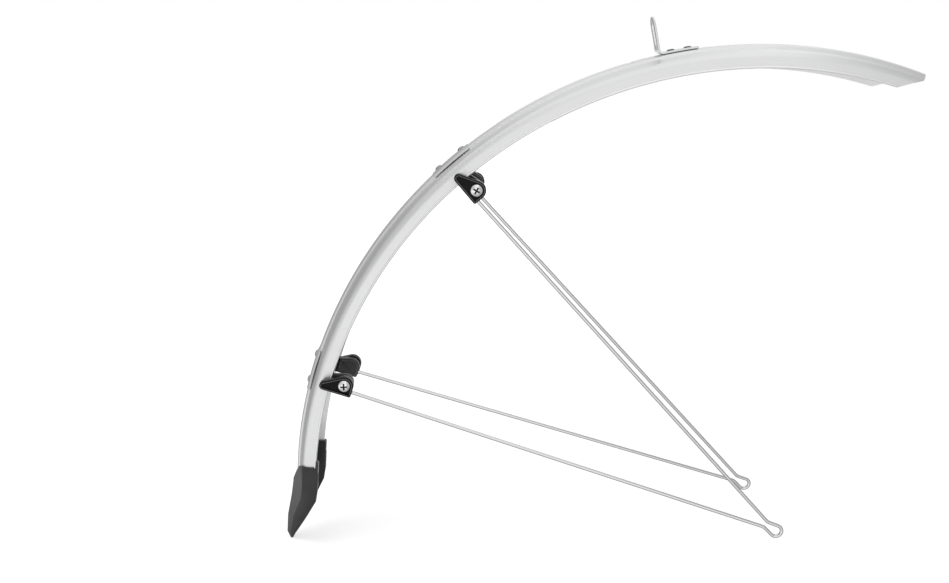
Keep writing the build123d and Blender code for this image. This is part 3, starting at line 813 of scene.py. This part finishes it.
# %% Strips
strip_arc = 35.0
strip_wall = 0.45
strip_corner = 2.4
strip_half = ((5.5, 362.1), (9.2, 360.95), (10.6, 359.4))
for level, angle in bridge_angles.items():
    strip_bm = bmesh.new()
    painted_lip_shadow = strip_bm.faces.layers.float.new("painted_lip_shadow")
    half_turn = arc_degrees(strip_arc / 2, crown_reach)
    line = section_line(strip_bm, both_sides(strip_half), angle + half_turn)
    sweep_arc(strip_bm, line, angle + half_turn, angle - half_turn, 14)
    corners = [v for v in strip_bm.verts if len(v.link_edges) == 2]
    bmesh.ops.bevel(strip_bm, geom=corners, offset=strip_corner * mm, offset_type="OFFSET", segments=4,
                    profile=0.5, affect="VERTICES", material=-1, clamp_overlap=True)
    turn_faces(strip_bm, -outward(angle))
    bmesh.ops.solidify(strip_bm, geom=strip_bm.faces[:], thickness=strip_wall * mm)
    strip_bm.normal_update()
    # Down-facing faces get a painted shadow, strongest at mid length.
    for face in strip_bm.faces:
        along = face.calc_center_median().dot(onward(angle)) / (strip_arc / 2 * mm)
        below = face.normal.dot(outward(angle)) < -0.3
        face[painted_lip_shadow] = max(0.0, 1 - along ** 2) if below else 0.0
    make_piece(strip_bm, f"rivet_strip_{level}", strip_finish, [f"{level}_strip"], hard=25)

# %% [markdown]
# The fork bracket is one strap of zinc-plated steel. A slotted tab stands up behind the fork crown,
# and a tight bend leads into a foot that follows the blade.
# The tab's face is bridged between two loops, its outline and the slot, so the slot needs no boolean.
# Both loops start as circles. The bend and the foot are then spun from the tab's lower edge.

# %% Bracket sheet
strap_half = 7.0
strap_wall = 1.5
bend_reach = 365.8
bend_radius = 2.95
tab_top = 390.4
foot_arc = 29.0
slot_radius = 2.75
slot_middle = 377.5
slot_stretch = 5.95
loop_corners = 40
bracket_bm = bmesh.new()
painted_back_shade = bracket_bm.faces.layers.float.new("painted_back_shade")
bright = bracket_bm.faces.layers.float.new("bright")


def stretched_circle(bm, radius, middle, stretch):
    """A circle of edges whose upper and lower halves are moved apart. Gives back the lower half."""
    turned = Matrix.Rotation(pi / loop_corners, 4, "Z")
    at = Matrix.Translation((0, middle, -strap_wall / 2)) @ turned
    verts = bmesh.ops.create_circle(bm, segments=loop_corners, radius=radius, matrix=at)["verts"]
    high = [v for v in verts if v.co.y > middle]
    low = [v for v in verts if v.co.y < middle]
    bmesh.ops.translate(bm, verts=high, vec=(0, stretch, 0))
    bmesh.ops.translate(bm, verts=low, vec=(0, -stretch, 0))
    return low


lower = stretched_circle(bracket_bm, strap_half, tab_top - strap_half, 0)
for vert in lower:
    vert.co.y = bend_reach
bmesh.ops.scale(bracket_bm, verts=lower, vec=(1 / cos(pi / loop_corners), 1, 1))
stretched_circle(bracket_bm, slot_radius, slot_middle, slot_stretch)
bmesh.ops.bridge_loops(bracket_bm, edges=bracket_bm.edges[:])
tab_rows = Matrix((across, outward(bracket_angle), onward(bracket_angle))).transposed().to_4x4()
bmesh.ops.transform(bracket_bm, matrix=tab_rows, verts=bracket_bm.verts)
bmesh.ops.scale(bracket_bm, verts=bracket_bm.verts, vec=(mm, mm, mm))
tab_foot = [e for e in bracket_bm.edges if all(v in lower for v in e.verts)]
bend_at = outward(bracket_angle) * bend_reach * mm + onward(bracket_angle) * bend_radius * mm
bent = bmesh.ops.spin(bracket_bm, geom=lower + tab_foot, cent=bend_at, axis=across,
                      angle=-pi / 2, steps=8)["geom_last"]
foot_from = bracket_angle - arc_degrees(bend_radius, crown_reach)
foot_to = bracket_angle - arc_degrees(foot_arc, crown_reach)
sweep_arc(bracket_bm, bent, foot_from, foot_to, 18)
bmesh.ops.remove_doubles(bracket_bm, verts=bracket_bm.verts, dist=1e-6)
print("bracket sheet faces:", len(bracket_bm.faces))

# %% [markdown]
# Shearing leaves a strap with two hard edges all round. Solidify gives the wall, and then a small bevel takes
# the sharpness off every edge, a slightly wider one in the slot, where the punch draws the metal in.
# The back of the tab is painted darker, a painted shade, and the wall of the slot is painted brighter,
# painted light, so those faces are marked for the finish.

# %% Bracket wall and edges
slot_low = 367
slot_high = 388
strap_round, slot_round = 0.22, 0.3
turn_faces(bracket_bm, -onward(bracket_angle))
bmesh.ops.solidify(bracket_bm, geom=bracket_bm.faces[:], thickness=strap_wall * mm)
bracket_bm.normal_update()


def hard_edges(bm, angle):
    """Edges whose two faces meet at more than an angle."""
    return [e for e in bm.edges if e.calc_face_angle(0) > radians(angle)]


def in_slot(edge):
    """Whether an edge lies on the rim of the slot."""
    reaches = [vert.co.dot(outward(bracket_angle)) / mm for vert in edge.verts]
    narrow = all(abs(vert.co.y) < 2.8 * mm for vert in edge.verts)
    return slot_low < min(reaches) and max(reaches) < slot_high and narrow


sheared = hard_edges(bracket_bm, 60)
slot_edges = [e for e in sheared if in_slot(e)]
round_edges(bracket_bm, [e for e in sheared if e not in slot_edges], strap_round * mm, 2)
round_edges(bracket_bm, [e for e in slot_edges if e.is_valid], slot_round * mm, 3)
bmesh.ops.dissolve_degenerate(bracket_bm, dist=1e-6, edges=bracket_bm.edges)
# The tab's back is marked for painted shade and the slot's wall for painted light.
for face in bracket_bm.faces:
    at = face.calc_center_median() / mm
    reach = at.dot(outward(bracket_angle))
    facing = face.normal.dot(onward(bracket_angle))
    face[painted_back_shade] = float(reach > slot_low and facing < -0.7)
    face[bright] = float(slot_low < reach < slot_high and abs(at.y) < 3 and abs(facing) < 0.6)
make_piece(bracket_bm, "fork_strap", bracket_finish, ["fork_bracket"])

# %% [markdown]
# Each stay is one length of drawn wire: down from the upper clip, round an open eyelet and back to the lower
# clip. A bevelled curve could make it, but its bends would be guesses. Here a ring of edges is drawn along
# the route: straight runs are extrusions, and every bend is a spin about its own centre,
# as a wire bender forms it.

# %% Route of a stay
eyelet_at = (26.0, 43.7, -16.0)
eyelet_bend = 4.6
neck_bend = 7.0
neck_ahead, neck_half = 10.0, 2.55
wire_half = 1.4
wire_past_clip = 10.2
wire_in_clip = Vector((0, 5.0, 0))


def stay_matrix(hand):
    """Place of a stay: origin in the eyelet, x up the middle of the V, in millimetres."""
    x, y, z = eyelet_at
    eye = Vector((x, hands[hand] * y, z)) * mm
    upper, lower = (clip_matrix(level, hand) @ wire_in_clip - eye for level in ("upper", "lower"))
    x_way = (upper.normalized() + lower.normalized()).normalized()
    z_way = upper.cross(lower).normalized()
    rows = Matrix((x_way, z_way.cross(x_way), z_way)).transposed().to_4x4()
    return Matrix.Translation(eye) @ rows @ Matrix.Scale(mm, 4)


def leg(hand, level):
    """End, neck and touching point of a leg's middle line in the stay's plane."""
    clamp = stay_matrix(hand).inverted() @ (clip_matrix(level, hand) @ wire_in_clip)
    way = 1 if clamp.y > 0 else -1
    neck = Vector((neck_ahead, way * neck_half, 0))
    end = clamp + (clamp - neck).normalized() * wire_past_clip
    turn = atan2(abs(neck.y), neck.x) + acos(eyelet_bend / neck.length)
    return end, neck, Vector((cos(turn), way * sin(turn), 0)) * eyelet_bend


for level in bridge_angles:
    print(level, "leg of the wire:", round(leg("right", level)[0].length, 1), "mm")

# %% Bending the wire
def edges_in(geom):
    """The edges among what an operator gives back."""
    return [item for item in geom if isinstance(item, bmesh.types.BMEdge)]


def run_on(bm, ring, step):
    """A ring of edges extruded by a step. Gives back the new ring."""
    made = bmesh.ops.extrude_edge_only(bm, edges=edges_in(ring))["geom"]
    verts = verts_in(made)
    bmesh.ops.translate(bm, verts=verts, vec=step)
    return verts + [e for e in edges_in(made) if all(v in verts for v in e.verts)]


def bend_on(bm, ring, middle, angle, steps):
    """A ring of edges spun about a centre in the stay's plane. Gives back the new ring."""
    return bmesh.ops.spin(bm, geom=ring, cent=middle, axis=(0, 0, 1), angle=angle, steps=steps)["geom_last"]


def turn_between(before, after):
    """Signed angle from one direction to another about z."""
    return atan2(before.cross(after).z, before.dot(after))


def round_neck(bm, ring, start, neck, end):
    """The ring drawn from a start, round the bend at a neck and on to an end."""
    before_way = (neck - start).normalized()
    after_way = (end - neck).normalized()
    turn = turn_between(before_way, after_way)
    short = neck_bend * tan(abs(turn) / 2)
    bend_start = neck - before_way * short
    middle = bend_start + Vector((-before_way.y, before_way.x, 0)) * neck_bend * (1 if turn > 0 else -1)
    ring = run_on(bm, ring, bend_start - start)
    ring = bend_on(bm, ring, middle, turn, 8)
    return run_on(bm, ring, end - neck - after_way * short)


# %% Wire stays
for hand in hands:
    wire_bm = bmesh.new()
    (end_a, neck_a, touch_a), (end_b, neck_b, touch_b) = (leg(hand, level) for level in ("upper", "lower"))
    start_way = (neck_a - end_a).normalized()
    at = Matrix.Translation(end_a) @ start_way.to_track_quat("Z", "Y").to_matrix().to_4x4()
    ring = bmesh.ops.create_circle(wire_bm, segments=20, radius=wire_half, matrix=at)["verts"]
    ring = round_neck(wire_bm, ring + wire_bm.edges[:], end_a, neck_a, touch_a)
    eyelet_turn = turn_between(touch_a, touch_b)
    way_round = -1 if eyelet_turn > 0 else 1
    ring = bend_on(wire_bm, ring, (0, 0, 0), way_round * (2 * pi - abs(eyelet_turn)), 36)
    round_neck(wire_bm, ring, touch_b, neck_b, end_b)
    bmesh.ops.remove_doubles(wire_bm, verts=wire_bm.verts, dist=1e-3)
    bmesh.ops.holes_fill(wire_bm, edges=wire_bm.edges)
    bmesh.ops.transform(wire_bm, matrix=stay_matrix(hand), verts=wire_bm.verts)
    bmesh.ops.recalc_face_normals(wire_bm, faces=wire_bm.faces)
    make_piece(wire_bm, f"wire_stay_{hand}", wire_finish, [f"stay_{hand}"], hard=50)

# %% [markdown]
# A bridge is a moulded strap inside the channel. It follows the blade from edge to edge, a tongue under the
# crown takes the two rivets, and a lobe hangs below each edge for the screw.
# The strap and the tongue are spun sections, and the lobes are hulls of circles like the caps.
# The lobes' inner faces and a ring on them are painted paler: painted light on the faces and a painted
# highlight on the ring.

# %% Strap and tongue of a bridge
bridge_half = 6.0
bridge_wall = 3.0
shoulder_round, bridge_round, tongue_round = 3.6, 0.5, 0.4
bridge_shoulder = (20.2, 354.5)
bridge_section = ((5.3, 360.8), (8.4, 359.8), (9.1, 358.0), bridge_shoulder, (22.1, 336.6))
tongue_half = 17.5
tongue_line = ((-5, 360.8), (5, 360.8), (5, 358.4), (-5, 358.4))


def bar_on_arc(bm, line, start, end, steps):
    """A closed section spun into a solid bar."""
    geom = section_line(bm, line, start, closed=True)
    bm.faces.new(verts_in(geom))
    sweep_arc(bm, geom + bm.faces[:], start, end, steps)
    bmesh.ops.recalc_face_normals(bm, faces=bm.faces)


def bridge_strap(angle):
    """The strap from edge to edge of the blade."""
    bm = bmesh.new()
    bm.faces.layers.float.new("painted_light")
    half_turn = arc_degrees(bridge_half, edge_reach)
    line = section_line(bm, both_sides(bridge_section), angle + half_turn)
    sweep_arc(bm, line, angle + half_turn, angle - half_turn, 4)
    round_edges(bm, long_edges(bm, *bridge_shoulder), shoulder_round * mm, 6)
    turn_faces(bm)
    bmesh.ops.solidify(bm, geom=bm.faces[:], thickness=bridge_wall * mm)
    bm.normal_update()
    round_edges(bm, hard_edges(bm, 70), bridge_round * mm, 3)
    return bm


def bridge_tongue(angle):
    """The tongue under the crown that the rivets go through."""
    bm = bmesh.new()
    half_turn = arc_degrees(tongue_half, crown_reach)
    bar_on_arc(bm, tongue_line, angle + half_turn, angle - half_turn, 10)
    round_edges(bm, hard_edges(bm, 70), tongue_round * mm, 2)
    return bm


# %% Lobes and bridges
lobe_circles = (((0, 0), 6.6), ((-5.1, 6.4), 1.5), ((9.7, -3.0), 1.0), ((9.7, 7.0), 1.0), ((0.5, 7.0), 1.0))
lobe_inner = -7.5
lobe_round = 1.2
lobe_paler = 0.4
lobe_ring = 0.5


def bridge_lobe(level, hand):
    """The lobe below one edge that the screw bites into."""
    bm = bmesh.new()
    painted_light = bm.faces.layers.float.new("painted_light")
    hull_block(bm, lobe_circles, lobe_inner, 0)
    # The inner face and its rounded edge are painted paler as painted light, and the ring brighter still as a
    # painted highlight.
    for face in round_edges(bm, face_at(bm, lobe_inner).edges[:], lobe_round, 4)["faces"]:
        face[painted_light] = lobe_paler
    inner = face_at(bm, lobe_inner)
    inner[painted_light] = lobe_paler
    ring = bmesh.ops.inset_region(bm, faces=[inner], thickness=lobe_ring, use_even_offset=True)["faces"]
    for face in ring:
        face[painted_light] = 1.0
    round_edges(bm, face_at(bm, 0).edges[:], seat_round, 2)
    bmesh.ops.transform(bm, matrix=clip_matrix(level, hand), verts=bm.verts)
    bmesh.ops.recalc_face_normals(bm, faces=bm.faces)
    return bm


for level, angle in bridge_angles.items():
    bridge_bm = bridge_strap(angle)
    take_in(bridge_bm, bridge_tongue(angle))
    for hand in hands:
        take_in(bridge_bm, bridge_lobe(level, hand))
    make_piece(bridge_bm, f"bridge_{level}", clip_finish, [f"{level}_bridge"])

# %% [markdown]
# The mudflap is soft plastic, moulded as one faceted shell that grips the blade's end. Its ridges run to a
# blunt point. Half sections from the ears down to the tip, each at a length of arc past the blade's end, are
# bridged with each other. That keeps the facets flat between the ridges, which a smoothed surface would lose.

# %% Mudflap shell
ear_arc = 24.5
ridge_round = 1.4
wide_line = ((9.3, 2.6), (22.0, -6.4), (25.0, -19.4))
flap_lines = {
    -ear_arc: wide_line,
    0.0: wide_line,
    13.0: ((7.65, 4.6), (17.1, -4.2), (23.85, -17.2)),
    32.0: ((4.95, 9.5), (9.9, 4.3), (15.2, -6.6)),
    48.0: ((2.7, 12.4), (4.4, 9.3), (6.75, 4.3)),
    54.5: ((1.6, 10.8), (2.25, 9.8), (2.8, 8.6)),
}
flap_bm = bmesh.new()
painted_sheen = flap_bm.verts.layers.float.new("painted_light")
rows = []
for arc, half_line in flap_lines.items():
    points = both_sides([(side, crown_reach + lift) for side, lift in half_line])
    rows.append(section_line(flap_bm, points, tail_angle + arc_degrees(arc, crown_reach)))
for upper_row, lower_row in zip(rows, rows[1:]):
    bmesh.ops.bridge_loops(flap_bm, edges=edges_in(upper_row + lower_row))
flap_bm.faces.new(verts_in(rows[-1]))
cross_edges = {item for row in rows for item in edges_in(row)}
ridges = [e for e in flap_bm.edges if e not in cross_edges and len(e.link_faces) == 2]
ridges = [e for e in ridges if abs(e.verts[0].co.z - e.verts[1].co.z) > 5 * mm]
round_edges(flap_bm, ridges, ridge_round * mm, 4)
print("flap shell faces:", len(flap_bm.faces))

# %% [markdown]
# On each side an ear of the flap reaches up the blade's wall, with a rounded top, while the back ends in
# a low step across the crown. Planes split the shell along that outline, seen from the side, and the faces
# above it are deleted. Then the shell gets its thickness. Points that look backward are painted paler,
# a painted sheen on the back facets.

# %% Ears of the mudflap
flap_wall = 2.0
flap_round = 0.35
step_height = 2.0
ear_rounds = (
    (Vector((13.5, -6.5)), 4.0, (0, 18.5, 37, 55.5, 73.8)),
    (Vector((14.0, -15.9)), 3.5, (-75, -50, -25)),
)
ear_cuts = [(middle, radius, Vector((cos(radians(turn)), sin(radians(turn)))))
            for middle, radius, turns in ear_rounds for turn in turns]
step_cut = (Vector((0, 0)), step_height, Vector((1, 0)))
for middle, radius, facing in ear_cuts + [step_cut]:
    point = middle + facing * radius
    spot_at = onward(tail_angle) * point.x * mm + outward(tail_angle) * (crown_reach + point.y) * mm
    normal = onward(tail_angle) * facing.x + outward(tail_angle) * facing.y
    geom = flap_bm.verts[:] + flap_bm.edges[:] + flap_bm.faces[:]
    bmesh.ops.bisect_plane(flap_bm, geom=geom, dist=1e-7, plane_co=spot_at, plane_no=normal)


def above_ears(face):
    """Whether a face lies above the step and beyond the ears' rounded outline, seen from the side."""
    spot = face.calc_center_median()
    lift = spot.dot(outward(tail_angle)) - crown_reach * mm
    at = Vector((spot.dot(onward(tail_angle)), lift)) / mm
    beyond = any((at - middle).dot(facing) > radius for middle, radius, facing in ear_cuts)
    return at.x > step_height and beyond


bmesh.ops.delete(flap_bm, geom=[f for f in flap_bm.faces if above_ears(f)], context="FACES")
turn_faces(flap_bm)
bmesh.ops.solidify(flap_bm, geom=flap_bm.faces[:], thickness=flap_wall * mm)
flap_bm.normal_update()
# Points that look backward are painted paler, a painted sheen on the back facets.
for vert in flap_bm.verts:
    backward = vert.normal.dot(vert.co.normalized())
    vert[painted_sheen] = min(max(2 * backward - 0.8, 0.0), 0.9)
round_edges(flap_bm, hard_edges(flap_bm, 60), flap_round * mm, 2)
print("flap faces:", len(flap_bm.faces))

# %% [markdown]
# Each ear folds round the blade's rolled edge into a hook on the inside, and that is what holds the flap on.
# A hook is a closed section spun up the edge like the tongues, with its free end rounded by a bevel.

# %% Hooks of the mudflap
hook_low = 342.4
hook_round = 3.0
hook_section = ((25.0, 344.1), (21.3, 344.1), (20.7, 350.1), (19.0, 350.1),
                (19.6, hook_low), (25.0, hook_low))
hook_top = tail_angle - arc_degrees(ear_arc, crown_reach)


def at_free_end(vert):
    """Whether a point lies on the upper end of a hook, at its lowest face."""
    off_reach = vert.co.length - hypot(vert.co.y, hook_low * mm)
    return abs(off_reach) < 1e-6 and atan2(vert.co.z, vert.co.x) < radians(hook_top + 0.01)


for side in hands.values():
    hook_bm = bmesh.new()
    line = [(side * half, reach) for half, reach in hook_section]
    bar_on_arc(hook_bm, line, tail_angle, hook_top, 10)
    free_end = [e for e in hook_bm.edges if all(at_free_end(v) for v in e.verts)]
    round_edges(hook_bm, free_end, hook_round * mm, 5)
    take_in(flap_bm, hook_bm)
make_piece(flap_bm, "mudflap_shell", flap_finish, ["mudflap"], hard=30)
